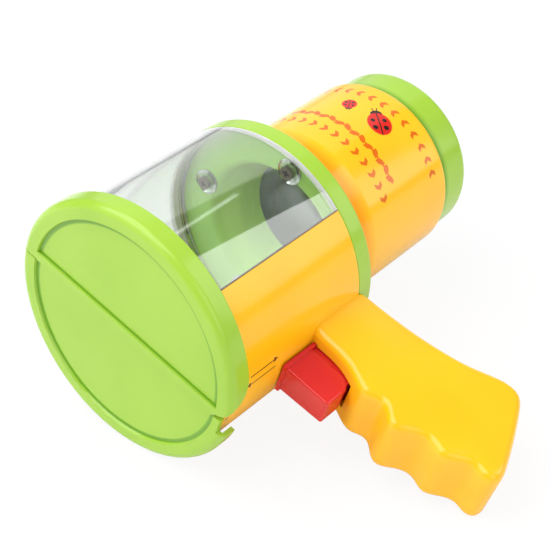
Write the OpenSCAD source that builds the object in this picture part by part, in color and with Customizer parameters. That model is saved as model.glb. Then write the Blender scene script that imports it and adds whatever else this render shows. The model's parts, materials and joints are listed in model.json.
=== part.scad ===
// Pistol-grip bug catcher: a drum with a clear window, a sprung trap door that a trigger opens, and a
// magnifying eyepiece at the back. It lies on its side, on the front collar and the grip's tip.
// Each piece is drawn about the drum's axis: X runs down the grip, Y from front to back, Z across the split.

/* [Drum] */
// Outer radius of the drum
drum_r = 51; // [49:0.5:52]
// Length from the front face to the back of the rear cap
drum_len = 88.4; // [86:0.2:92]
// Wall of the window, the shells and the rear cap
wall = 2.2; // [1.8:0.1:2.4]
// Angle that the coloured shells cover on each side of the grip
shell_angle = 57; // [54:1:62]

/* [Front] */
// Height of the front collar above the drum
collar_step = 4; // [3.5:0.5:6]
// Length of the collar over the drum
collar_len = 9.8; // [9.4:0.1:12]
// Wall of the collar
collar_wall = 2; // [1.6:0.1:2.2]
// Width of the raised rim
rim_w = 7.6; // [6:0.2:8]
// Depth of the two half-round panels below the rim
recess = 1.2; // [0.8:0.1:1.6]
// Thickness of the rim plate
rim_t = 2.4; // [2.2:0.1:2.6]
// Thickness of the panels
panel_t = 1.8; // [1.4:0.1:2]
// Rounding of the rim's outer edge
rim_round = 3.2; // [2:0.2:4]
// Width of the rib along the split
rib_w = 4; // [3:0.5:5]
// Radius of the fixed half's rounded corner beside the grip
corner_r = 8.6; // [7:0.2:9]

/* [Door hinge] */
// Distance of the hinge axis from the split
hinge_drop = 2.6; // [2.55:0.05:2.8]
// Depth of the hinge axis behind the front face
hinge_depth = 4.6; // [4.5:0.1:5]
// Radius of the door's hinge barrel
knuckle_r = 2.4; // [2.1:0.1:2.4]
// Radius of the steel hinge pin
pin_r = 1; // [0.8:0.1:1.1]
// Angle that the door opens by
door_open = 65; // [55:1:65]

/* [Trigger] */
// Width of the trigger across the grip
trigger_w = 12.8; // [11:0.2:14]
// Length of the trigger block along the drum
trigger_len = 16; // [14:0.5:17]
// Height of the trigger block above the drum
trigger_h = 23; // [18:0.5:26]
// Distance from the front of the trigger block, with the door shut, to the back of the rear cap
trigger_set = 54.4; // [52:0.2:56]
// Distance that the trigger travels
travel = 8; // [7.6:0.1:8.2]

/* [Grip] */
// Length of the grip below the drum
grip_len = 88.4; // [84:0.2:98]
// Thickness of the grip
grip_w = 27; // [26:0.5:30]
// Depth of the grip from its foremost crest to its heel
grip_depth = 53.6; // [50:0.2:56]
// Distance from the foremost crest of the grip to the back of the rear cap
grip_set = 47.4; // [46:0.2:50]
// Rounding of the grip's edges
grip_round = 3.4; // [2.8:0.2:3.4]

/* [Eyepiece] */
// Outer radius of the eyepiece barrel
barrel_r = 39.1; // [38:0.1:40]
// Radius of the barrel's neck at the rear cap
neck_r = 36.4; // [36:0.2:37]
// Length of the tapered neck
neck_len = 18.6; // [16:0.2:22]
// Length of the barrel behind the rear cap
barrel_len = 70.3; // [64:0.1:76]
// Rounding of the barrel's rear edge
barrel_round = 2.5; // [2:0.5:5]
// Outer radius of the eye ring
eye_r = 37.1; // [36.5:0.1:38]
// Length of the eye ring behind the barrel
eye_len = 17.7; // [16.5:0.1:18.5]
// Radius of the sight opening in the eye ring
sight_r = 27.5; // [26:0.5:28]
// Thickness of the lens at its middle
lens_t = 7; // [5:0.5:8]

/* [Hidden] */
$fn = 96;
full_turn = 360;
collar_r = drum_r + collar_step;
// Overrun of a cut past the face that it leaves, and the side of a block that cuts away half of the part
over = 1;
big = 4 * collar_r;
// Direction that the start of each round cut faces, away from the grip
seam = 115;
// Gap between fixed pieces that fit together, and between pieces that move past each other
fit = 0.2;
gap = 0.3;
// Radial clearance of the steel pins
pin_fit = 0.06;

// Sizes along the drum
panel_back = recess + panel_t;
drum_front = rim_t + gap;
cap_wall_y = drum_len - wall;
drum_back = cap_wall_y - fit;
drum_in = drum_r - wall;
// Rear cap: its ring is flush with the drum and laps over a tongue at the end of the drum's wall
ring_len = 8.2;
ring_y = drum_len - ring_len;
ring_round = 1;
tongue_t = 0.9;
tongue_r = drum_in + tongue_t;
recess_r = collar_r - rim_w;
recess_slope = 0.5;
edge_round = 0.6;
// Angle between the edges of the window and of the shells, and between the shells' own edges at the split
edge_angle = 0.15;

// Hinge, ears and the reliefs that the door's edge swings through
split_gap = 0.2;
door_edge = hinge_drop - split_gap;
panel_sweep = norm([door_edge, hinge_depth - recess]) + gap;
rim_sweep = norm([door_edge, hinge_depth]) + gap;
ear_r = knuckle_r - fit;
ear_relief = ear_r + gap;
// Set of the ears, the boss and the crank arm within the drum's wall
ear_set = 3.2;
ear_in = drum_in - ear_set;
ear_w = 2.8;
ear_out = ear_in + ear_w;
boss_set = 1.2;
boss_in = drum_in - boss_set;
pin_end = drum_r - fit;
bridge_len = 2.6;
spigot_w = 2;
spigot_r = drum_in - fit;
spigot_len = 6.3;
spigot_angle = 14.5;
corner_share = 1.7;
// Distance from the split at which the door's collar ends beside the grip, and how much shorter that collar is
notch_w = 7.5;
door_set = 2.6;
spar_w = 3.4;
spar_len = 3;
spar_set = 7.3;
spar_reach = drum_in - spar_set;

// Crank arm, its pin and the yoke that drives it
crank_angle = 15;
crank_len = travel / (sin(crank_angle + door_open) - sin(crank_angle));
crank_set = 6.6;
crank_x = drum_in - crank_set;
crank_t = 2;
crank_root_r = 1.4;
crank_tip_r = 2;
crank_z = crank_len * cos(crank_angle) - hinge_drop;
crank_y = hinge_depth + crank_len * sin(crank_angle);
crank_pin_r = 1.2;
yoke_gap = 0.8;
yoke_x = crank_x + crank_t + yoke_gap;
bar_t = 2;
// Most that the turning pin runs ahead of the bar: the slot leaves room for it
lost_share = 0.16;
slot_slack = 0.25;
slot_front = crank_y - crank_pin_r - slot_slack;
slot_back = crank_y + crank_pin_r + slot_slack + lost_share * travel;
yoke_wall = 1.3;
crank_end_z = crank_len * cos(crank_angle + door_open) - hinge_drop;
slot_low = crank_end_z - crank_pin_r - 2 * slot_slack;
slot_high = crank_z + crank_pin_r + slot_slack;
bar_w = 8;
yoke_back = slot_back + 2 * yoke_wall;

// Trigger, its neck through the shell and its guide
trigger_front = drum_len - trigger_set;
trigger_back = trigger_front + trigger_len;
trigger_reach = drum_r + trigger_h;
base_gap = 0.4;
base_x = drum_r + base_gap;
base_t = 1.6;
base_tail = 2;
base_back = trigger_back + base_tail;
base_lip = 0.4;
base_side = 0.9;
base_w = trigger_w + 2 * base_side;
neck_w = 5.6;
neck_set = 4;
neck_len_y = 8;
neck_front = trigger_front + neck_set;
neck_back = neck_front + neck_len_y;
bar_tail = 6.5;
bar_back = neck_back + bar_tail;
slot_w = neck_w + 4 * fit;
trigger_round = 1;
trigger_heel = 6.5;
// Tail of the trigger block, which keeps the grip's opening closed behind it
tail_len = 7.4;
tail_set = 0.6;
tail_drop = 1.6;
tail_back = trigger_back + tail_len;
trigger_taper = 0.5;
floor_front = yoke_back + travel + gap;
floor_t = 1.4;
guide_front = floor_front + floor_t + gap;
spring_room = 20;
guide_back = bar_back + spring_room;
guide_w = 12.6;
rail_w = 2;
seat_t = 1.8;
guide_x = yoke_x + bar_t + gap;
guide_t = 1;
spring_r = 2;
wire_r = 0.35;
spring_turns = 7;
spring_steps = 10;
spring_sides = 5;
spring_x = yoke_x + bar_t / 2;

// Cover over the mechanism
floor_r = spring_x - spring_r - wire_r - gap;
floor_back = guide_back + fit;
floor_angle = 50;
floor_edge = 2;

// Clear rear wall with its screw cups
cup_r = 5.5;
cup_wall = 1;
cup_floor = 1.2;
cup_h = 3.6;
cup_back = cap_wall_y - fit;
pane_t = 2.2;
pane_rise = 1.4;
pane_y = cup_back - pane_rise - pane_t;
screw_set = 12.2;
screw_ring_r = drum_in - screw_set;
screw_angles = [91, 177, 263];

// Screws
head_r = 2.9;
head_t = 1.7;
shank_r = 1.3;
hole_clear = 0.15;
small_scale = 0.7;
cross_w = 0.8;
cross_len = 3.4;
cross_depth = 1;
screw_hole = 1.7;

// Sight funnel of the rear cap
funnel_mouth_r = 30.5;
funnel_round = 4;
funnel_r = 24.5;
funnel_len = 21.8;
funnel_back = cap_wall_y + funnel_len;
funnel_t = 1.6;

// Eyepiece
crease_y = drum_len + neck_len;
barrel_back = drum_len + barrel_len;
eye_front = barrel_back + gap;
eye_back = barrel_back + eye_len;
eye_round = 3.2;
eye_lip = 1.2;
lip_angle = 60;
barrel_lip_r = 33;
barrel_lip_t = 2.4;
eye_spigot_r = barrel_lip_r - fit;
eye_spigot_len = 8;
lens_r = 29.4;
seat_r = lens_r + fit;
lens_edge_t = 1.4;
lens_gap = 0.55;
// Free length of the sight opening behind the lens
sight_len = 7.4;
lens_mid = eye_back - eye_lip - sight_len - lens_t / 2;
lens_back = lens_mid + lens_edge_t / 2 + lens_gap;
// Bore of the sight opening, and the wider step that holds the lens ahead of it
bore_len = 7;
bore_front = eye_back - eye_lip - bore_len;
hold_step = 0.7;
hold_r = sight_r + hold_step;
retainer_t = 2.2;

// Grip outline: shares of its length and depth, from the root's rear down to the tip and back up the front
grip_top = drum_len - grip_set;
grip_shares = [[-0.033, 0.800], [0.046, 0.788], [0.158, 0.797], [0.271, 0.806], [0.401, 0.838],
               [0.532, 0.884], [0.625, 0.950], [0.700, 1.005], [0.782, 1.010], [0.827, 0.945], [0.871, 0.790],
               [0.916, 0.640], [0.973, 0.410], [1.002, 0.285], [0.987, 0.195], [0.932, 0.172], [0.879, 0.215],
               [0.823, 0.152], [0.763, 0.068], [0.708, 0.105], [0.661, 0.135], [0.606, 0.085], [0.555, 0.000],
               [0.499, -0.003], [0.448, 0.100], [0.401, 0.118], [0.353, 0.060], [0.290, 0.085],
               [0.212, 0.165], [0.101, 0.200], [-0.033, 0.190], [-0.080, 0.300], [-0.096, 0.500],
               [-0.080, 0.700]];
spline_steps = 4;
round_steps = 7;
grip_wall = 2.4;
boss_r = 4.3;
head_sink = 5;
grip_screws_shares = [[0.133, 0.600], [0.369, 0.330], [0.574, 0.640], [0.827, 0.480]];

// Pose: the grip dips until its tip touches the surface that the collar rests on
tip_x = max([for (p = grip_points()) p[0]]) - grip_round;
tip_z = grip_w / 2 - grip_round;
dip = asin((collar_r - grip_round) / norm([tip_x, tip_z])) - atan2(tip_z, tip_x);
x_high = tip_x * cos(dip) + tip_z * sin(dip) + grip_round;
middle = [(x_high - collar_r) / 2, eye_back / 2, -collar_r];

green = [0.62, 0.87, 0.32];
yellow = [1, 0.77, 0.15];
red = [0.88, 0.15, 0.12];
clear = [0.85, 0.92, 0.95, 0.35];
steel = [0.7, 0.7, 0.72];
grey = [0.85, 0.85, 0.82];

// Turns a piece from the drum's axes into the resting pose
module posed() {
    translate(-middle) rotate([0, dip, 0]) children();
}

// Revolves a profile of radius and distance from the front about the drum's axis, between two angles that
// count from the grip across the split
module turned(from = 0, to = full_turn) {
    rotate([-90, 0, 0]) rotate([0, 0, -to]) rotate_extrude(angle = to - from) children();
}

// A rod or hole along the drum
module along_drum(r, from, to) {
    translate([0, from, 0]) rotate([-90, 0, 0]) rotate([0, 0, seam]) cylinder(r = r, h = to - from);
}

// A rod or hole along the hinge, at the height z and the depth y
module along_hinge(r, from, to, y = hinge_depth, z = -hinge_drop) {
    translate([from, y, z]) rotate([0, 90, 0]) cylinder(r = r, h = to - from);
}

// A block between two corners
module block(low, high) {
    translate(low) cube(high - low);
}

function arc(centre, r, from, to, steps) =
    [for (i = [0:steps]) let (a = from + (to - from) * i / steps) centre + r * [cos(a), sin(a)]];

// Points of a smooth closed curve that follows the given ones
function spline(p, steps) = let (n = len(p))
    [for (i = [0:n - 1], j = [0:steps - 1])
        let (t = j / steps, a = p[(i + n - 1) % n], b = p[i], c = p[(i + 1) % n], d = p[(i + 2) % n])
        ((1 - t) * (1 - t) * (1 - t) * a + (3 * t * t * t - 6 * t * t + 4) * b
         + (3 * t * t + 3 * t + 1 - 3 * t * t * t) * c + t * t * t * d) / 6];

// The same closed curve moved inward by a distance
function inset(p, by) = let (n = len(p))
    [for (i = [0:n - 1]) let (d = p[(i + 1) % n] - p[(i + n - 1) % n]) p[i] + by * [d[1], -d[0]] / norm(d)];

// A screw with its head's top face at the origin and its shank along +Z
module screw(length) {
    difference() {
        union() {
            cylinder(r = head_r, h = head_t);
            cylinder(r = shank_r, h = length);
        }
        for (turn = [0, 90])
            rotate([0, 0, turn]) translate([-cross_len / 2, -cross_w / 2, -over])
                cube([cross_len, cross_w, cross_depth + over]);
    }
}

// Half-round front piece before it is cut at the split: rim, panel and collar
module front_disc() {
    turned() polygon(concat(
        [[0, recess], [recess_r, recess], [recess_r + recess_slope, 0]],
        arc([collar_r - rim_round, rim_round], rim_round, -90, 0, 8),
        arc([collar_r - edge_round, collar_len - edge_round], edge_round, 0, 90, 3),
        [[collar_r - collar_wall, collar_len], [collar_r - collar_wall, rim_t], [recess_r, rim_t],
         [recess_r - recess_slope, panel_back], [0, panel_back]]));
}

// Corner that the fixed half gives up beside the grip, where the door's end shows
module grip_corner() {
    difference() {
        block([collar_r - rim_w, -over, -over], [collar_r + over, collar_len + over, corner_r + over]);
        translate([collar_r - corner_r - edge_round, -2 * over, corner_r + over])
            along_drum(corner_r, 0, collar_len + 4 * over);
    }
    translate([collar_r - rim_w, 0, 0]) rotate([90, 0, 90]) linear_extrude(drum_r) polygon(concat(
        [[collar_len + over, -over], [rim_t, -over]],
        [for (p = arc([0, 0], 1, 180, 90, 8))
            [rim_t + p[1] * (collar_len - rim_t), corner_r * (1 + (1 + p[0]) * corner_share)]],
        [[collar_len + over, (1 + corner_share) * corner_r]]));
}

module front_cap() {
    color(green) posed() difference() {
        union() {
            difference() {
                front_disc();
                block([-big, -big, -big], [big, big, 0]);
                grip_corner();
            }
            intersection() {
                along_drum(recess_r + recess_slope, 0, panel_back);
                block([-big, 0, 0], [big, panel_back, rib_w]);
            }
            block([-spar_reach, panel_back - fit, rib_w - spar_w], [spar_reach, panel_back + spar_len, rib_w]);
            turned(spigot_angle, 180) translate([spigot_r - spigot_w, rim_t])
                square([spigot_w, spigot_len + gap]);
            turned(spigot_angle, 180) translate([recess_r, rim_t - fit]) square([drum_r - recess_r, gap + fit]);
            intersection() {
                along_drum(spigot_r, 0, collar_len);
                union() {
                    along_hinge(ear_r, -ear_out, -ear_in);
                    block([-ear_out, hinge_depth, -hinge_drop - ear_r],
                          [-ear_in, hinge_depth + ear_r + bridge_len, -hinge_drop + ear_r]);
                    block([-ear_out, hinge_depth + ear_r, -hinge_drop - ear_r],
                          [-ear_in, hinge_depth + ear_r + bridge_len, rim_sweep]);
                }
            }
        }
        difference() {
            along_hinge(panel_sweep, -ear_out - over, ear_out);
            along_hinge(ear_r, -ear_out - 2 * over, -ear_in);
            block([-ear_out - over, hinge_depth + ear_r, -big], [-ear_in, big, big]);
            block([-ear_out - over, hinge_depth, -big], [-ear_in, big, -hinge_drop + ear_r]);
        }
        difference() {
            for (side = [-1, 1])
                along_hinge(rim_sweep, side > 0 ? recess_r - gap : -big, side > 0 ? big : -recess_r + gap);
            along_hinge(ear_r, -ear_out, -ear_in);
            block([-ear_out, hinge_depth + ear_r, -big], [-ear_in, big, big]);
            block([-ear_out, hinge_depth, -big], [-ear_in, big, -hinge_drop + ear_r]);
        }
        along_hinge(pin_r + pin_fit, -ear_out - over, -ear_in + over);
    }
}

module trap_door() {
    color(green) posed() difference() {
        union() {
            difference() {
                front_disc();
                block([-big, -big, -split_gap], [big, big, big]);
                block([drum_r, -big, -notch_w], [big, big, big]);
                block([-big, collar_len - door_set, -big], [big, big, big]);
                for (side = [-1, 1])
                    along_hinge(ear_relief, side > 0 ? crank_x + crank_t + gap : -big,
                                side > 0 ? big : -ear_in + gap);
            }
            along_hinge(knuckle_r, -ear_in + gap + fit, crank_x + crank_t);
            hull() {
                along_hinge(crank_root_r, crank_x, crank_x + crank_t, hinge_depth + over, -hinge_drop);
                along_hinge(crank_tip_r, crank_x, crank_x + crank_t, crank_y, crank_z);
            }
        }
        along_hinge(pin_r + pin_fit, -big, big);
        along_hinge(crank_pin_r, crank_x - over, crank_x + crank_t + over, crank_y, crank_z);
    }
}

module hinge_pin() {
    color(steel) posed() along_hinge(pin_r, -ear_out, pin_end);
}

module crank_pin() {
    color(steel) posed() along_hinge(crank_pin_r, crank_x, yoke_x + bar_t, crank_y, crank_z);
}

// Profile of the drum's wall, with the tongue that the rear cap's ring laps over
module drum_wall() {
    translate([drum_in, drum_front]) square([wall, ring_y - fit - drum_front]);
    translate([drum_in, drum_front]) square([tongue_t, drum_back - drum_front]);
}

module clear_window() {
    edge = shell_angle + edge_angle;
    color(clear) posed() difference() {
        union() {
            turned(edge, full_turn - edge) drum_wall();
            turned(edge, full_turn - edge) translate([drum_in - wall, pane_y]) square([wall + tongue_t, pane_t]);
            along_drum(drum_in - fit, pane_y, pane_y + pane_t);
            for (a = screw_angles)
                rotate([0, -a, 0]) translate([screw_ring_r, 0, 0]) along_drum(cup_r, cup_back - cup_h, cup_back);
        }
        for (a = screw_angles)
            rotate([0, -a, 0]) translate([screw_ring_r, 0, 0]) {
                along_drum(cup_r - cup_wall, cup_back - cup_h - over, cup_back - cup_floor);
                along_drum(shank_r + hole_clear, cup_back - cup_h, cup_back + over);
            }
        // Relief that the door's end swings through
        intersection() {
            along_hinge(rim_sweep, -big, -recess_r + gap);
            block([-big, 0, -hinge_drop], [0, hinge_depth + knuckle_r, big]);
        }
    }
}

module window_screws() {
    color(steel) posed() for (a = screw_angles)
        rotate([0, -a, 0]) translate([screw_ring_r, cup_back - cup_floor - head_t, 0])
            rotate([-90, 0, 0]) screw(head_t + cup_floor + screw_hole);
}

module back_cap() {
    taper = atan2(funnel_mouth_r - funnel_r, funnel_len);
    color(green) posed() difference() {
        turned() polygon(concat(
            [[tongue_r + fit, cap_wall_y], [tongue_r + fit, ring_y]],
            arc([drum_r - edge_round, ring_y + edge_round], edge_round, -90, 0, 3),
            arc([drum_r - ring_round, drum_len - ring_round], ring_round, 0, 90, 5),
            [[funnel_mouth_r + funnel_t, drum_len], [funnel_r + funnel_t, funnel_back], [funnel_r, funnel_back]],
            arc([funnel_mouth_r + funnel_round, cap_wall_y + funnel_round], funnel_round, taper - 180, -90, 6)));
        for (a = screw_angles)
            rotate([0, -a, 0]) translate([screw_ring_r, 0, 0])
                along_drum(shank_r + hole_clear, cap_wall_y - over, cap_wall_y + screw_hole + fit);
    }
}

module eyepiece_barrel() {
    color(yellow) posed() turned() polygon(concat(
        [[neck_r - wall, drum_len], [neck_r, drum_len], [barrel_r, crease_y]],
        arc([barrel_r - barrel_round, barrel_back - barrel_round], barrel_round, 0, 90, 8),
        [[barrel_lip_r, barrel_back], [barrel_lip_r, barrel_back - barrel_lip_t],
         [barrel_r - wall, barrel_back - barrel_lip_t - barrel_round], [barrel_r - wall, crease_y]]));
}

module eyepiece_ring() {
    color(green) posed() turned() polygon(concat(
        [[seat_r, eye_front - eye_spigot_len], [eye_spigot_r, eye_front - eye_spigot_len],
         [eye_spigot_r, eye_front]],
        arc([eye_r - 2 * eye_lip, eye_front + 2 * eye_lip], 2 * eye_lip, -lip_angle, 0, 5),
        arc([eye_r - eye_round, eye_back - eye_round], eye_round, 0, 90, 8),
        [[sight_r + eye_lip, eye_back], [sight_r, eye_back - eye_lip], [sight_r, bore_front],
         [hold_r, bore_front], [hold_r, lens_back + fit], [seat_r, lens_back + fit]]));
}

module magnifier_lens() {
    // Radius of the two faces, from the lens's own radius and the height of their crown
    crown = (lens_t - lens_edge_t) / 2;
    face_r = (lens_r * lens_r + crown * crown) / (2 * crown);
    reach = asin(lens_r / face_r);
    color(clear) posed() turned() polygon(concat(
        [for (i = [0:10]) let (a = reach * i / 10)
            [face_r * sin(a), lens_mid - lens_t / 2 + face_r * (1 - cos(a))]],
        [for (i = [10:-1:0]) let (a = reach * i / 10)
            [face_r * sin(a), lens_mid + lens_t / 2 - face_r * (1 - cos(a))]]));
}

module lens_retainer() {
    back = lens_back - lens_edge_t - 2 * lens_gap;
    color(grey) posed() turned() translate([hold_r, back - retainer_t])
        square([seat_r - fit / 2 - hold_r, retainer_t]);
}

function grip_points() = [for (s = spline(grip_shares, spline_steps))
    [drum_r + s[0] * grip_len, grip_top + s[1] * grip_depth]];

// Half of the grip's outer shape: the outline, drawn in towards its side face by a quarter round. It runs on
// past both flat faces, which plane cuts make
module grip_half() {
    outline = grip_points();
    n = len(outline);
    side = grip_w / 2;
    rings = concat([[0, -over]], [for (i = [0:round_steps]) let (a = 90 * i / round_steps)
        [grip_round * (1 - cos(a)), side - grip_round * (1 - sin(a))]], [[grip_round, side + over]]);
    points = [for (r = rings, p = inset(outline, r[0])) [p[0], p[1], r[1]]];
    faces = concat(
        [[for (i = [n - 1:-1:0]) i]],
        [for (k = [0:len(rings) - 2], i = [0:n - 1])
            let (j = (i + 1) % n) [k * n + i, k * n + j, (k + 1) * n + j, (k + 1) * n + i]],
        [[for (i = [0:n - 1]) (len(rings) - 1) * n + i]]);
    intersection() {
        polyhedron(points, faces, convexity = 6);
        block([0, 0, 0], [big, big, side]);
    }
}

// The part of a shell on the side that z points to: drum wall, grip half, bosses and the cuts through them
module shell(side) {
    grip = [for (s = grip_screws_shares) [drum_r + s[0] * grip_len, grip_top + s[1] * grip_depth]];
    difference() {
        union() {
            difference() {
                mirror([0, 0, side > 0 ? 0 : 1]) grip_half();
                mirror([0, 0, side > 0 ? 0 : 1]) translate([0, 0, -over])
                    linear_extrude(grip_w / 2 - grip_wall + over) polygon(inset(grip_points(), grip_wall));
                along_drum(drum_r - fit, 0, drum_len + over);
                along_drum(drum_r + gap, ring_y - gap, drum_len + over);
            }
            difference() {
                turned(side > 0 ? 0 : -shell_angle, side > 0 ? shell_angle : 0)
                    drum_wall();
                if (side < 0) block([0, -over, -fit / 4], [big, big, big]);
            }
            for (p = grip)
                translate([p[0], p[1], side > 0 ? 0 : -grip_w / 2 + grip_wall / 2])
                    cylinder(r = boss_r, h = grip_w / 2 - grip_wall / 2);
            if (side < 0) along_hinge(ear_r, boss_in, drum_in + wall / 2);
        }
        for (p = grip) {
            translate([p[0], p[1], -grip_w / 2 - over])
                cylinder(r = shank_r + hole_clear, h = grip_w - grip_wall + over);
            translate([p[0], p[1], -grip_w / 2 - over]) cylinder(r = head_r + hole_clear, h = head_sink + over);
        }
        // Slot for the trigger's neck, and the pocket that the trigger slides into
        block([drum_in - over, neck_front - fit - gap, -slot_w / 2],
              [base_x, neck_back + travel + gap + fit, slot_w / 2]);
        block([drum_r + fit, grip_top, -base_w / 2 - gap],
              [base_x + base_t + gap, base_back + travel + gap, base_w / 2 + gap]);
        block([drum_r + fit, grip_top, -trigger_w / 2 - gap],
              [trigger_reach + gap, tail_back + travel + gap, trigger_w / 2 + gap]);
        // Relief that the door's end swings through, and the hole of the hinge pin
        difference() {
            intersection() {
                along_hinge(rim_sweep, boss_in - over, big);
                block([0, 0, -hinge_drop], [big, hinge_depth + ear_r - fit, big]);
            }
            along_hinge(ear_r, 0, big);
        }
        along_hinge(pin_r + pin_fit, boss_in - over, big);
    }
}

module shell_upper() {
    color(yellow) posed() shell(1);
}

module shell_lower() {
    color(yellow) posed() shell(-1);
}

module handle_screws() {
    color(steel) posed() for (s = grip_screws_shares)
        translate([drum_r + s[0] * grip_len, grip_top + s[1] * grip_depth, -grip_w / 2 + head_sink - head_t])
            screw(grip_w - head_sink - grip_wall + head_t - over);
}

module trigger_button() {
    half = trigger_w / 2 - trigger_round;
    low = base_x + trigger_round;
    high = trigger_reach - trigger_round;
    heel = trigger_heel - trigger_round;
    outline = concat([[low, trigger_front + trigger_round], [high, trigger_front + trigger_round],
                      [low, trigger_back - trigger_round]],
                     arc([high - heel, trigger_back - trigger_round - heel], heel, 0, 90, 5));
    color(red) posed() difference() {
        union() {
            hull() for (side = [-1, 1], p = outline)
                translate([p[0], p[1], side * (half - trigger_taper * (p[0] - low) / (high - low))])
                    sphere(r = trigger_round, $fn = 24);
            block([base_x, trigger_front - base_lip, -base_w / 2], [base_x + base_t, base_back, base_w / 2]);
            block([base_x, trigger_back - trigger_heel, tail_set - trigger_w / 2],
                  [trigger_reach - tail_drop, tail_back, trigger_w / 2 - tail_set]);
            block([yoke_x + bar_t, neck_front, -neck_w / 2], [base_x + over, neck_back, neck_w / 2]);
        }
        along_x_at(shank_r + hole_clear, yoke_x, base_x + base_t + 2 * over);
    }
}

// A rod or hole through the trigger's neck
module along_x_at(r, from, to) {
    translate([from, (neck_front + neck_back) / 2, 0]) rotate([0, 90, 0]) cylinder(r = r, h = to - from);
}

module trigger_screw() {
    color(steel) posed() translate([yoke_x + gap, (neck_front + neck_back) / 2, 0])
        rotate([0, 90, 0]) scale(small_scale) screw((base_x + base_t - yoke_x) / small_scale);
}

module slide_bar() {
    yoke_front = slot_front - yoke_wall;
    color(grey) posed() difference() {
        union() {
            block([yoke_x, slot_back, -bar_w / 2], [yoke_x + bar_t, bar_back, bar_w / 2]);
            block([yoke_x, slot_back, slot_low], [yoke_x + bar_t, yoke_back, slot_high + yoke_wall]);
            block([yoke_x, yoke_front, slot_high], [yoke_x + bar_t, slot_back + over, slot_high + yoke_wall]);
            block([yoke_x, yoke_front, -hinge_drop + pin_r + gap], [yoke_x + bar_t, slot_front, slot_high + over]);
        }
        along_x_at(shank_r * small_scale + hole_clear, yoke_x - over, yoke_x + bar_t + over);
        along_x_at(head_r * small_scale + hole_clear, yoke_x - over, yoke_x + gap + head_t * small_scale);
    }
}

module slide_guide() {
    color(grey) posed() difference() {
        union() {
            block([guide_x, guide_front, -guide_w / 2], [guide_x + guide_t, guide_back, guide_w / 2]);
            for (side = [-1, 1])
                block([yoke_x + fit, guide_front, side * (guide_w - rail_w) / 2 - rail_w / 2],
                      [guide_x + fit, guide_back, side * (guide_w - rail_w) / 2 + rail_w / 2]);
            block([yoke_x + fit, guide_back - seat_t, -guide_w / 2], [guide_x + fit, guide_back, guide_w / 2]);
        }
        // Slot that the trigger's neck slides into from the front, and the window of the spring
        block([guide_x - over, guide_front - over, -slot_w / 2],
              [guide_x + guide_t + over, neck_back + travel + gap + fit, slot_w / 2]);
        block([guide_x - over, neck_back, -spring_r - wire_r - gap],
              [guide_x + guide_t + over, guide_back - seat_t - gap, spring_r + wire_r + gap]);
    }
}

module return_spring() {
    start = bar_back + wire_r + fit;
    end = guide_back - seat_t - wire_r - fit;
    count = spring_turns * spring_steps;
    n = spring_sides;
    points = [for (i = [0:count], j = [0:n - 1])
        let (a = full_turn * i / spring_steps, b = full_turn * j / n, r = spring_r + wire_r * cos(b))
        [spring_x + r * cos(a), start + (end - start) * i / count + wire_r * sin(b), r * sin(a)]];
    color(steel) posed() polyhedron(points, concat(
        [[for (j = [0:n - 1]) j]],
        [for (i = [0:count - 1], j = [0:n - 1]) [i * n + j, (i + 1) * n + j, (i + 1) * n + (j + 1) % n]],
        [for (i = [0:count - 1], j = [0:n - 1]) [i * n + j, (i + 1) * n + (j + 1) % n, i * n + (j + 1) % n]],
        [[for (j = [n - 1:-1:0]) count * n + j]]), convexity = 10);
}

module chamber_floor() {
    color(yellow) posed() difference() {
        union() {
            turned(-floor_angle, floor_angle) translate([floor_r - floor_t, floor_front])
                square([floor_t, floor_back - floor_front]);
            turned(-floor_angle, floor_angle) translate([floor_r - floor_t, floor_front])
                square([drum_in - fit - floor_r + floor_t, floor_t]);
            for (a = [-floor_angle, floor_angle - floor_edge])
                turned(a, a + floor_edge) translate([floor_r - floor_t, floor_front])
                    square([drum_in - fit - floor_r + floor_t, floor_back - floor_front]);
        }
        block([floor_r, floor_front - over, -bar_w / 2 - gap], [drum_r, floor_front + floor_t + over, bar_w / 2 + gap]);
    }
}

front_cap();
trap_door();
clear_window();
shell_upper();
shell_lower();
back_cap();
window_screws();
eyepiece_barrel();
eyepiece_ring();
magnifier_lens();
lens_retainer();
trigger_button();
slide_bar();
trigger_screw();
slide_guide();
return_spring();
chamber_floor();
handle_screws();
hinge_pin();
crank_pin();
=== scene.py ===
import json
import math

import bpy
from mathutils import Matrix, Vector


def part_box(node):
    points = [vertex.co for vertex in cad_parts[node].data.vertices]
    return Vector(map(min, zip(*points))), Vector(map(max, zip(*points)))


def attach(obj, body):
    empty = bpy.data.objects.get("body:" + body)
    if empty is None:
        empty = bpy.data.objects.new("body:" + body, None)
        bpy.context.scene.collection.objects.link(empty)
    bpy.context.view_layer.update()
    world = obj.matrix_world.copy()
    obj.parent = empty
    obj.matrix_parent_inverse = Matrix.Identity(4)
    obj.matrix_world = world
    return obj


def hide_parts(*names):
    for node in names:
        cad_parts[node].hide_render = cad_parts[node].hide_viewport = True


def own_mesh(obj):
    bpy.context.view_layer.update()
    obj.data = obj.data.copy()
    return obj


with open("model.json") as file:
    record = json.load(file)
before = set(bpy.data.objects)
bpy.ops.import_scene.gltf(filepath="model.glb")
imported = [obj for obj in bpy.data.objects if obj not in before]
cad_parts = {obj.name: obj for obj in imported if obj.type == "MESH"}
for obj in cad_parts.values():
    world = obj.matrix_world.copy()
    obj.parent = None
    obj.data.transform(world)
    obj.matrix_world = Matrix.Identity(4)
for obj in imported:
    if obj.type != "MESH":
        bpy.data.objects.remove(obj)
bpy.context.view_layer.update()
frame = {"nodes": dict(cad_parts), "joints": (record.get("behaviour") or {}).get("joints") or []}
nodes = frame["nodes"]

# Drum shells with the grip: two yellow halves, injection-moulded in glossy plastic and screwed together from
# the far side. Two printed arrows beside the trigger show its way. The skin is the frame's own, with its
# curves smoothed.


def joint(name):
    return next(j for j in frame["joints"] if j["name"] == name)


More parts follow.
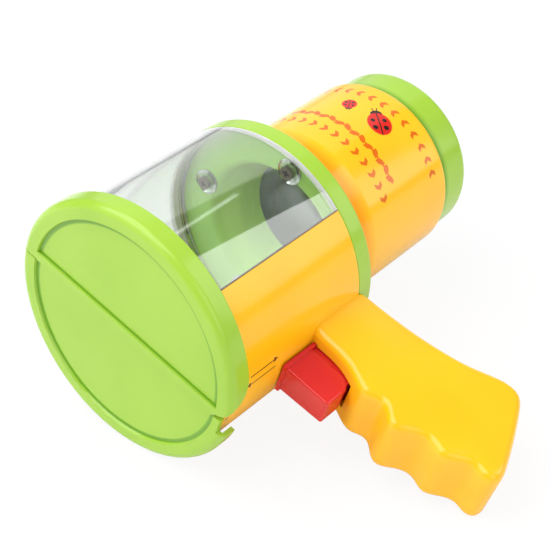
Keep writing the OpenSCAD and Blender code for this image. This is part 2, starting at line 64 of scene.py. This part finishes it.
# The catcher lies on its side, on its front collar and the tip of its grip. These lines find the drum's axis
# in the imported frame, and the dip of its grip. Sizes are in millimetres and angles in degrees.
mm = 0.001
metre = 1 / mm
hinge_line = joint("door_hinge")["axis"]
dip = math.atan2(hinge_line[2], -hinge_line[0])
ring_low, ring_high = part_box("eyepiece_ring")
axis_x = (ring_low.x + ring_high.x) / 2
axis_z = (ring_low.z + ring_high.z) / 2
drum_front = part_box("front_cap")[0].y


class Shade:
    """A value, colour, vector or shader among the nodes, written as an expression."""

    def __init__(self, home, socket):
        self.home = home
        self.socket = socket

    def math(self, operation, *others):
        return self.home.math(operation, self, *others)

    def __add__(self, other):
        return self.math("ADD", other)

    def __sub__(self, other):
        return self.math("SUBTRACT", other)

    def __mul__(self, other):
        return self.math("MULTIPLY", other)

    def __truediv__(self, other):
        return self.math("DIVIDE", other)

    __radd__ = __add__
    __rmul__ = __mul__

    def __rsub__(self, other):
        return self.home.math("SUBTRACT", other, self)

    def __abs__(self):
        return self.math("ABSOLUTE")

    def least(self, other):
        return self.math("MINIMUM", other)

    def most(self, other):
        return self.math("MAXIMUM", other)

    def step(self, low, high):
        """0 below low, 1 above high, and smooth between them."""
        settings = {"interpolation_type": "SMOOTHSTEP", "clamp": True}
        values = {"Value": self, "From Min": low, "From Max": high}
        return self.home.node("ShaderNodeMapRange", settings, values)

    def within(self, limit, blur):
        """1 where the value is nearer to 0 than the limit."""
        return 1 - abs(self).step(limit - blur, limit + blur)


class Nodes:
    """The nodes of one material, or of the world."""

    def __init__(self, tree):
        self.tree = tree

    def feed(self, socket, value):
        """Sets a socket to a number or colour, or links an expression to it."""
        if isinstance(value, Shade):
            self.tree.links.new(value.socket, socket)
        else:
            socket.default_value = value

    def node(self, kind, settings=None, values=None, output=0):
        """Adds a node, its settings first and then its sockets, and gives one of its outputs."""
        made = self.tree.nodes.new(kind)
        for key, value in (settings or {}).items():
            setattr(made, key, value)
        for key, value in (values or {}).items():
            self.feed(made.inputs[key], value)
        return Shade(self, made.outputs[output])

    def math(self, operation, *values):
        return self.node("ShaderNodeMath", {"operation": operation}, dict(enumerate(values)))

    def ray(self, kind):
        """1 for rays of this kind and 0 for others."""
        return self.node("ShaderNodeLightPath", output=kind)

    def cover(self, share, under, over):
        """Mixes two shaders. The upper one has this share."""
        return self.node("ShaderNodeMixShader", {}, {0: share, 1: under, 2: over})


class Finish(Nodes):
    """One material of the object, with its Principled shader."""

    def __init__(self, name, **constants):
        self.material = bpy.data.materials.new(name)
        self.material.use_nodes = True
        super().__init__(self.material.node_tree)
        self.shader = self.tree.nodes["Principled BSDF"]
        self.surface = Shade(self, self.shader.outputs[0])
        self.set(**constants)

    def set(self, **values):
        """Sets the Principled shader's sockets, by number, colour or expression."""
        for key, value in values.items():
            self.feed(self.shader.inputs[key.replace("_", " ")], value)

    def show(self, surface):
        """Shows this shader in place of the Principled one alone."""
        self.feed(self.tree.nodes["Material Output"].inputs["Surface"], surface)

    def point(self):
        return self.node("ShaderNodeTexCoord", output="Object")

    def drum(self):
        """Place on the drum: the angle from the grip across the split, the distance from the front, and the
        radius."""
        apart = self.node("ShaderNodeSeparateXYZ", {}, {"Vector": self.point()}).socket.node
        x, y, z = (Shade(self, s) for s in apart.outputs)
        x, z = (x - axis_x) * metre, (z - axis_z) * metre
        down = x * math.cos(dip) - z * math.sin(dip)
        across = x * math.sin(dip) + z * math.cos(dip)
        angle = self.math("ARCTAN2", across, down) * (180 / math.pi)
        return angle, (y - drum_front) * metre, (down * down + across * across).math("SQRT")

    def noise(self, size, detail=2.0, stretch=(1, 1, 1)):
        """Noise whose lumps are about this size apart."""
        where = self.node("ShaderNodeMapping", {}, {"Vector": self.point(), "Scale": stretch})
        values = {"Vector": where, "Scale": metre / size, "Detail": detail}
        return self.node("ShaderNodeTexNoise", {}, values)

    def bump(self, strength, height):
        values = {"Strength": strength, "Distance": mm, "Height": height}
        return self.node("ShaderNodeBump", {}, values)

    def blend(self, mask, low, high):
        """Mixes two colours."""
        values = {"Factor": mask, 6: low, 7: high}
        return self.node("ShaderNodeMix", {"data_type": "RGBA"}, values, output=2)

    def paint(self, mask, colour):
        """Lays a colour over the base colour."""
        self.base = self.blend(mask, self.base, colour)
        self.set(Base_Color=self.base)


def srgb(red, green, blue):
    """A colour as it looks on a screen, from 0 to 255 a channel."""
    def linear(v):
        v = v / 255
        return v / 12.92 if v <= 0.04045 else ((v + 0.055) / 1.055) ** 2.4
    return linear(red), linear(green), linear(blue), 1.0


def moulded(name, colour, deep, rough=0.16):
    """Polished moulded plastic: cloudy colour, soft handling marks in the gloss and a faint waviness."""
    plastic = Finish(name, Coat_Weight=0.1, Coat_Roughness=0.06, Specular_IOR_Level=0.42)
    clouds = plastic.noise(size=38, detail=1.5).step(0.25, 0.8)
    marks = plastic.noise(size=7, detail=4.0, stretch=(1, 0.35, 1)).step(0.52, 0.74)
    grain = plastic.noise(size=1.1)
    waves, pores = plastic.noise(size=16, detail=1.0), plastic.noise(size=0.9)
    plastic.base = plastic.blend(clouds, colour, deep)
    plastic.set(
        Base_Color=plastic.base,
        Roughness=rough + 0.05 * marks + 0.02 * grain,
        Normal=plastic.bump(0.35, height=waves * 0.05 + pores * 0.004),
    )
    return plastic


def dress(node, material):
    """Gives a carried-over part its material."""
    slots = nodes[node].data.materials
    slots.clear()
    slots.append(material)


def smoothed(name, node, material):
    """A copy of a part from the frame with its facets merged and its curves shaded smooth."""
    touching = 0.002 * mm
    crease = math.radians(32)
    piece = bpy.data.objects.new(name, nodes[node].data.copy())
    bpy.context.scene.collection.objects.link(piece)
    bpy.ops.object.select_all(action="DESELECT")
    piece.select_set(True)
    bpy.context.view_layer.objects.active = piece
    bpy.ops.mesh.customdata_custom_splitnormals_clear()
    bpy.ops.object.mode_set(mode="EDIT")
    bpy.ops.mesh.select_all(action="SELECT")
    bpy.ops.mesh.remove_doubles(threshold=touching)
    bpy.ops.object.mode_set(mode="OBJECT")
    bpy.ops.object.shade_smooth_by_angle(angle=crease)
    piece.data.materials.clear()
    piece.data.materials.append(material)
    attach(piece, "base")
    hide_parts(node)
    return piece


yellow_light, yellow_deep = srgb(255, 194, 28), srgb(255, 185, 20)
arrow_ink = srgb(96, 52, 12)
drum_radius = 51
shell_plastic = moulded("yellow_shell_plastic", yellow_light, yellow_deep)
angle, back, radius = shell_plastic.drum()


def arrow(row, tail, tip):
    """Mask of a printed arrow along the drum at the angle row, from tail to tip."""
    half_shaft, half_head, head_slope, blur = 0.28, 1.1, 0.62, 0.06
    side = (angle - row) * (drum_radius * math.pi / 180)
    way = 1 if tip > tail else -1
    left = (tip - back) * way
    shaft = side.within(half_shaft, blur) * (back - (tail + tip) / 2).within(abs(tip - tail) / 2, blur)
    wedge = 1 - (abs(side) - left * head_slope).step(-blur, blur)
    return shaft.most(wedge * (left - half_head).within(half_head, blur))


arrows = arrow(row=14.4, tail=15.0, tip=30.5).most(arrow(row=10.2, tail=29.5, tip=13.2))
on_drum = (radius - drum_radius).within(0.5, 0.1)
shell_plastic.paint(arrows * on_drum, arrow_ink)
smoothed("grip_shell_upper", "shell_upper", shell_plastic.material)
smoothed("grip_shell_lower", "shell_lower", shell_plastic.material)

# Chamber floor: a curved cover of yellow plastic, moulded less glossy than the shells. It lies over the
# trigger's works and keeps insects off them.
floor_plastic = moulded("chamber_floor_plastic", yellow_light, yellow_deep, rough=0.3)
dress("chamber_floor", floor_plastic.material)

# Slide guide and slide bar: plain pale moulded plastic, hidden under the chamber floor. The bar joins the
# trigger to the door's crank and runs in the guide's channel.
works_plastic = moulded("works_plastic", srgb(225, 225, 218), srgb(205, 205, 196), rough=0.4)
dress("slide_guide", works_plastic.material)
dress("slide_bar", works_plastic.material)

# Pins, screws and the return spring: zinc-plated steel, with fine drawing marks. The spring is wound from
# wire. The trigger sliding back presses it against its seat in the guide; here it keeps its length in the
# frame.


def plated(name, bright, dull, rough):
    """Plated steel with fine drawing marks."""
    steel = Finish(name, Metallic=1.0)
    streaks = steel.noise(size=0.5, detail=3.0, stretch=(1, 4, 1))
    steel.set(Base_Color=steel.blend(streaks, bright, dull), Roughness=rough + 0.2 * streaks)
    return steel.material


zinc = plated("plated_steel", srgb(205, 203, 198), srgb(165, 163, 160), rough=0.25)
for fastener in ("hinge_pin", "crank_pin", "trigger_screw", "handle_screws"):
    dress(fastener, zinc)
slide_travel = joint("trigger_slide")["range_m"][1]
spring_low, spring_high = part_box("return_spring")
pressed = 1 - slide_travel / (spring_high.y - spring_low.y)
spring = smoothed("spring_coil", "return_spring", zinc)
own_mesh(spring)

# Trigger: a red block with soft edges on a thin base plate, moulded in one piece. Its neck goes through a
# slot in the shells, and a screw holds it to the slide bar.
red_plastic = moulded("red_trigger_plastic", srgb(224, 45, 39), srgb(213, 38, 34), rough=0.2)
dress("trigger_button", red_plastic.material)

# Front: two halves of green moulded plastic. The upper one is fixed, with its collar over the drum, and the
# lower one is the trap door, which swings on a pin beside the split. The groove round the panels has painted
# shade.
green_light, green_deep = srgb(161, 201, 64), srgb(152, 194, 54)
groove_painted_shade = srgb(92, 150, 26)
rim_inside, rib_side = 46.8, 4.4
green_plastic = moulded("green_plastic", green_light, green_deep, rough=0.2)
angle, back, radius = green_plastic.drum()
across = radius * (angle * (math.pi / 180)).math("SINE")
# Painted shade: a darker green where the recessed panels meet the rim and the rib.
rim_groove_shade = (radius - rim_inside).within(0.9, 0.5)
rib_groove_shade = (across - rib_side).within(0.55, 0.4) * (1 - radius.step(46.5, 47.1))
panel_depth = back.step(0.6, 1.1) * (1 - back.step(1.6, 2.0))
green_plastic.paint(rim_groove_shade.most(rib_groove_shade) * panel_depth * 0.8, groove_painted_shade)
dress("front_cap", green_plastic.material)
dress("trap_door", green_plastic.material)

# Rear cap: the green ring and wall that close the drum, moulded in one piece with the sight funnel. Painted
# light makes the wall a paler green than the ring, and the funnel paler still, against the shade in the drum.
wall_painted_light, funnel_painted_light = srgb(184, 236, 100), srgb(205, 250, 118)
wall_plastic = moulded("green_rear_plastic", green_light, green_deep, rough=0.2)
_, back, radius = wall_plastic.drum()
inner_wall = 1 - radius.step(47.6, 48.4)
funnel = (1 - radius.step(29.5, 31.5)) * back.step(86.3, 87.5)
# Painted light: paler greens on the wall and the funnel inside the drum.
wall_plastic.paint(inner_wall, wall_painted_light)
wall_plastic.paint(funnel, funnel_painted_light)
dress("back_cap", wall_plastic.material)

# Window: the clear upper part of the drum with its rear wall and three screw cups, moulded in one piece. Its
# cut edges are dull, and a band at its rear has whitish painted light, for light carried inside the wall.
# Its rear wall is so clear that most rays go straight through.


def clear_plastic(name, tint):
    """Clear moulded plastic with a faint waviness, and a slight haze where it is scuffed."""
    clear = Finish(name, Base_Color=tint, Transmission_Weight=1.0, IOR=1.49)
    scuffs = clear.noise(size=9, detail=5.0).step(0.6, 0.8)
    clear.haze = 0.002 + 0.012 * scuffs
    clear.set(
        Coat_Weight=1.0,
        Coat_Roughness=0.01,
        Roughness=0.012 + 0.03 * scuffs,
        Normal=clear.bump(0.2, height=clear.noise(size=22, detail=1.0) * 0.05),
    )
    return clear


def milk_and_glow(clear, colour):
    """What haze in the clear plastic looks like, and painted light in it."""
    return clear.node("ShaderNodeBsdfDiffuse", {}, {"Color": colour})


def finish_clear(clear, tint, milky_and_glowing, straight=0.0):
    """Joins the haze and any painted glow to the clear surface. Lamps pass it, and so does this share of the
    other rays.
    """
    passing = clear.node("ShaderNodeBsdfTransparent", {}, {"Color": tint})
    hazy_and_glowing = clear.cover(clear.haze, clear.surface, milky_and_glowing)
    clear.show(clear.cover(clear.ray("Is Shadow Ray").most(straight), hazy_and_glowing, passing))
    return clear.material


window_tint = (0.95, 0.975, 0.965, 1.0)
band_painted_light, edge_milk = srgb(222, 216, 226), srgb(120, 108, 98)
window_plastic = clear_plastic("clear_window_plastic", window_tint)
angle, back, radius = window_plastic.drum()
on_wall = (radius - 50.5).within(2.2, 0.2)
cut_edge = (1 - abs(angle).step(57.5, 57.9)) * on_wall
# Painted light: a whitish band at the rear of the wall, for light carried inside the clear plastic.
rear_glow_band = (back - 80.9).within(2.6, 0.3) * on_wall
rear_pane = (back - 83.5).within(1.3, 0.1) * (1 - radius.step(46.8, 47.2))
window_plastic.haze = window_plastic.haze.most(rear_glow_band * 0.42).most(cut_edge * 0.85)
window_milk_and_glow = window_plastic.cover(cut_edge, milk_and_glow(window_plastic, band_painted_light), milk_and_glow(window_plastic, edge_milk))
dress("clear_window", finish_clear(window_plastic, window_tint, window_milk_and_glow, straight=rear_pane * 0.92))

# Window screws: three cross-head screws of darker plated steel, in the window's clear cups. They hold its
# rear wall to the rear cap.
dark_steel = plated("screw_steel", srgb(150, 142, 128), srgb(104, 96, 84), rough=0.28)
dress("window_screws", dark_steel)

# Eyepiece barrel: a yellow moulded tube that narrows to its neck behind the rear cap. It is printed with
# rows of chevrons, a sprig of leaves and two beetles. Its neck has painted orange shade, and its inside, seen
# through the funnel, has dark green painted shade.
orange_ink, red_ink, black_ink = srgb(218, 102, 0), srgb(214, 32, 24), srgb(36, 24, 18)
neck_shade_orange, inside_shade_green = srgb(248, 148, 0), srgb(82, 124, 50)
barrel_radius = 39.1
degree = barrel_radius * math.pi / 180
barrel_plastic = moulded("yellow_barrel_plastic", yellow_light, yellow_deep)
angle, back, radius = barrel_plastic.drum()


def row_of(first, pitch, count):
    """A row of prints round the barrel from the angle first: the number of prints up to a point, how far it
    is from the middle of its own print, and the mask of the row."""
    turns = (angle - first) / pitch + 0.5
    along = (turns.math("FRACT") - 0.5) * (pitch * degree)
    return turns, along, (turns - count / 2).within(count / 2, 0.01)


def chevrons(row, first, pitch, count, way):
    """Mask of a row of chevrons at the distance row from the front. They point round the barrel."""
    half_tall, lean, half_stroke, blur = 2.1, 0.7, 1.0, 0.12
    _, along, in_row = row_of(first, pitch, count)
    rise = abs(back - row)
    arm = (along * way + rise * lean - 0.55).within(half_stroke, blur)
    return arm * (1 - rise.step(half_tall - blur, half_tall + blur)) * in_row


def leaves(row, first, pitch, count):
    """Mask of a sprig: a stem round the barrel with leaves on both sides in turn."""
    slant, half_length, half_width, half_stem = math.radians(38), 2.7, 1.35, 0.42
    turns, along, in_row = row_of(first, pitch, count)
    side = (turns.math("FLOOR") * 0.5).math("FRACT") * 4 - 1
    up = (back - row) * side
    length = along * math.cos(slant) + up * math.sin(slant) - 0.6
    width = up * math.cos(slant) - along * math.sin(slant)
    edge = half_width * (1 - (length / half_length) * (length / half_length))
    tips = 1 - abs(length).step(half_length - 0.1, half_length + 0.1)
    leaf = (edge - abs(width)).step(-0.1, 0.1) * tips
    stem = (back - row).within(half_stem, 0.08)
    return leaf.most(stem) * in_row


def oval(x, y, half_x, half_y):
    size = ((x / half_x) * (x / half_x) + (y / half_y) * (y / half_y)).math("SQRT")
    return 1 - size.step(0.94, 1.06)


def print_beetle(middle, row, turn, size):
    """Prints a round beetle with four spots. Its shape is in shares of its size, with its head up."""
    x, y = (angle - middle) * degree, back - row
    c, s = math.cos(math.radians(turn)), math.sin(math.radians(turn))
    x, y = (x * c + y * s) / size, (y * c - x * s) / size
    feelers = (abs(x) - 0.3 * (y - 0.4)).within(0.02, 0.012) * (y - 0.6).within(0.1, 0.01)
    head = oval(x, y - 0.42, 0.21, 0.16).most(feelers)
    body = oval(x, y, 0.42, 0.46)
    front_spots = oval(abs(x) - 0.2, y - 0.14, 0.075, 0.075)
    rear_spots = oval(abs(x) - 0.19, y + 0.16, 0.09, 0.09)
    wing_line = x.within(0.022, 0.012)
    barrel_plastic.paint(head, black_ink)
    barrel_plastic.paint(body, red_ink)
    barrel_plastic.paint(front_spots.most(rear_spots).most(wing_line) * body, black_ink)


# Painted shade: the neck darkened towards orange.
neck = 1 - back.step(100, 108)
barrel_plastic.paint(neck * 0.85, neck_shade_orange)
front_row = chevrons(row=117.0, first=44, pitch=8.3, count=13, way=-1)
rear_row = chevrons(row=149.5, first=40, pitch=9.0, count=13, way=1)
sprig = leaves(row=124.8, first=52, pitch=5.9, count=15)
on_barrel = (radius - barrel_radius).within(0.6, 0.1)
barrel_plastic.paint(front_row.most(rear_row).most(sprig) * on_barrel, orange_ink)
print_beetle(middle=84, row=138.8, turn=-55, size=13.2)
print_beetle(middle=108.6, row=139.2, turn=150, size=7.8)
# Painted shade: the inside of the tube darkened to a dark green.
outer_skin = ((back - 88.4) * 0.145 + 36.4).least(barrel_radius)
inside = (outer_skin - radius).step(0.9, 1.3)
barrel_plastic.paint(inside, inside_shade_green)
dress("eyepiece_barrel", barrel_plastic.material)

# Eye ring with its lens: the green moulded ring at the barrel's end, which the eye looks through, and the
# clear magnifying lens, which a pale plastic retainer holds in it.
ring_plastic = moulded("green_ring_plastic", green_light, green_deep, rough=0.2)
_, back, _ = ring_plastic.drum()
# Painted shade: a darker green at the front of the ring, where it meets the barrel.
ring_front_shade = 1 - back.step(159.6, 163.5)
ring_plastic.paint(ring_front_shade * 0.7, srgb(96, 150, 24))
dress("eyepiece_ring", ring_plastic.material)
dress("lens_retainer", works_plastic.material)
lens_tint = (0.97, 0.98, 0.98, 1.0)
lens_plastic = clear_plastic("lens_plastic", lens_tint)
lens_milk = milk_and_glow(lens_plastic, (0.93, 0.93, 0.95, 1.0))
smoothed("eye_lens", "magnifier_lens", finish_clear(lens_plastic, lens_tint, lens_milk))

# Studio: a pale floor and a white backdrop, six soft lamps round the object and the photograph's camera.
# Floor and backdrop are white to the camera by themselves, so the lamps stay at a plain level.
white = (1, 1, 1, 1)
bpy.ops.mesh.primitive_plane_add(size=6, location=(0, 0, 0))
floor = bpy.context.object
floor.name = "studio_floor"
floor_paint = Finish("studio_floor_paint", Base_Color=(0.86, 0.86, 0.86, 1.0), Roughness=0.9)
glow = floor_paint.node("ShaderNodeEmission", {}, {"Color": white, "Strength": 1.0})
seen = floor_paint.ray("Is Camera Ray").most(floor_paint.ray("Is Transmission Ray"))
floor_paint.show(floor_paint.cover(seen * 0.9, floor_paint.surface, glow))
floor.data.materials.append(floor_paint.material)

world = bpy.data.worlds.new("studio")
bpy.context.scene.world = world
world.use_nodes = True
studio = Nodes(world.node_tree)
studio.tree.nodes.remove(studio.tree.nodes["Background"])


def background(strength):
    return studio.node("ShaderNodeBackground", {}, {"Color": white, "Strength": strength})


room, mirrored_room, backdrop = background(0.46), background(0.24), background(1.0)
unseen = studio.cover(studio.ray("Is Glossy Ray"), room, mirrored_room)
shown = studio.cover(studio.ray("Is Camera Ray"), unseen, backdrop)
studio.feed(studio.tree.nodes["World Output"].inputs["Surface"], shown)

down_grip, behind_front = 20, 85
middle = Vector((
    axis_x + mm * (down_grip * math.cos(dip)),
    drum_front + mm * behind_front,
    axis_z - mm * (down_grip * math.sin(dip)),
))


def softbox(name, direction, distance, width, height, power):
    """A rectangular soft lamp that faces the middle of the object. Its distance and sizes are in metres."""
    direction = Vector(direction).normalized()
    lamp = bpy.data.lights.new(name, "AREA")
    lamp.shape = "RECTANGLE"
    lamp.size, lamp.size_y = width, height
    lamp.energy = power
    holder = bpy.data.objects.new(name, lamp)
    bpy.context.scene.collection.objects.link(holder)
    holder.location = middle + direction * distance
    holder.rotation_euler = direction.to_track_quat("Z", "Y").to_euler()


softbox("overhead_softbox", (-0.33, -0.4, 0.95), distance=1.1, width=1.2, height=1.0, power=12.2)
softbox("rear_right_softbox", (0.639, 0.578, 0.507), distance=0.909, width=0.32, height=0.85, power=1.9)
softbox("rear_left_softbox", (-0.483, 0.735, 0.476), distance=1.122, width=1.1, height=1.07, power=2.7)
softbox("rear_strip", (-0.054, 0.54, 0.84), distance=1.135, width=0.05, height=0.13, power=0.035)
softbox("front_left_softbox", (-0.6, -1.0, 0.6), distance=1.1, width=0.9, height=0.8, power=2.4)
softbox("front_right_softbox", (1.0, -0.25, 0.5), distance=1.1, width=0.9, height=0.8, power=3.0)

camera = bpy.data.cameras.new("camera")
camera.lens = 95.76
camera.sensor_width = 36
camera.clip_start = 0.01
tripod = bpy.data.objects.new("camera", camera)
bpy.context.scene.collection.objects.link(tripod)
right = Vector((0.7690, 0.6393, 0.0))
up = Vector((-0.3735, 0.4492, 0.8116))
toward = Vector((0.5188, -0.6241, 0.5842))
turn = Matrix((right, up, toward)).transposed().to_4x4()
spot = Vector((axis_x, drum_front, axis_z)) + mm * Vector((320.7, -295.8, 339.1))
tripod.matrix_world = Matrix.Translation(spot) @ turn
bpy.context.scene.camera = tripod
bpy.context.scene.view_settings.view_transform = "Standard"
